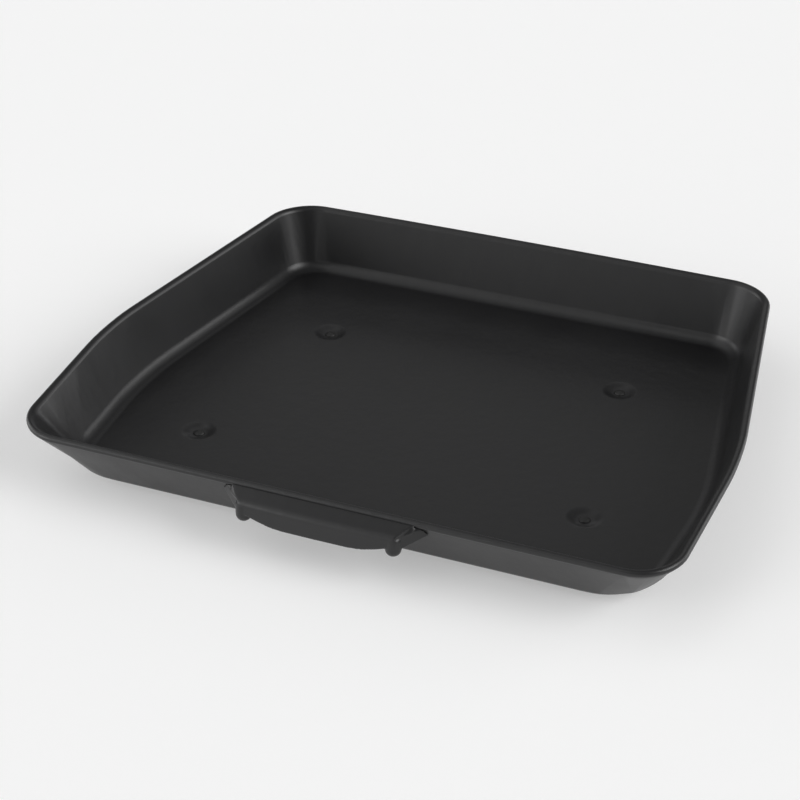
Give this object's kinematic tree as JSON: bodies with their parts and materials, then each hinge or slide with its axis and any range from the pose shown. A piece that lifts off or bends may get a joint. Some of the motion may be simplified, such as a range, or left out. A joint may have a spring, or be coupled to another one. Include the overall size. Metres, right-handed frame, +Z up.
{
  "type": "paint roller tray",
  "caption": "Shallow black plastic paint tray with leaning walls, a beaded rim, a tapered plan, a hooded front pull grip and push-in rubber feet.",
  "frame": {"origin": "on the bench under the middle of the whole tray's bounding box, at the underside of the feet", "axes": "+X to the right across the tray, +Y from the front grip to the narrow back edge, +Z up"},
  "size_m": [0.398, 0.336, 0.048],
  "materials": {
    "tray_plastic": "satin moulded black polypropylene",
    "foot_rubber": "matt black rubber"
  },
  "bodies": {
    "root": {"tray_shell": "tray_plastic", "front_grip": "tray_plastic", "foot_back_left": "foot_rubber", "foot_back_right": "foot_rubber", "foot_front_left": "foot_rubber", "foot_front_right": "foot_rubber"}
  },
  "joints": []
}
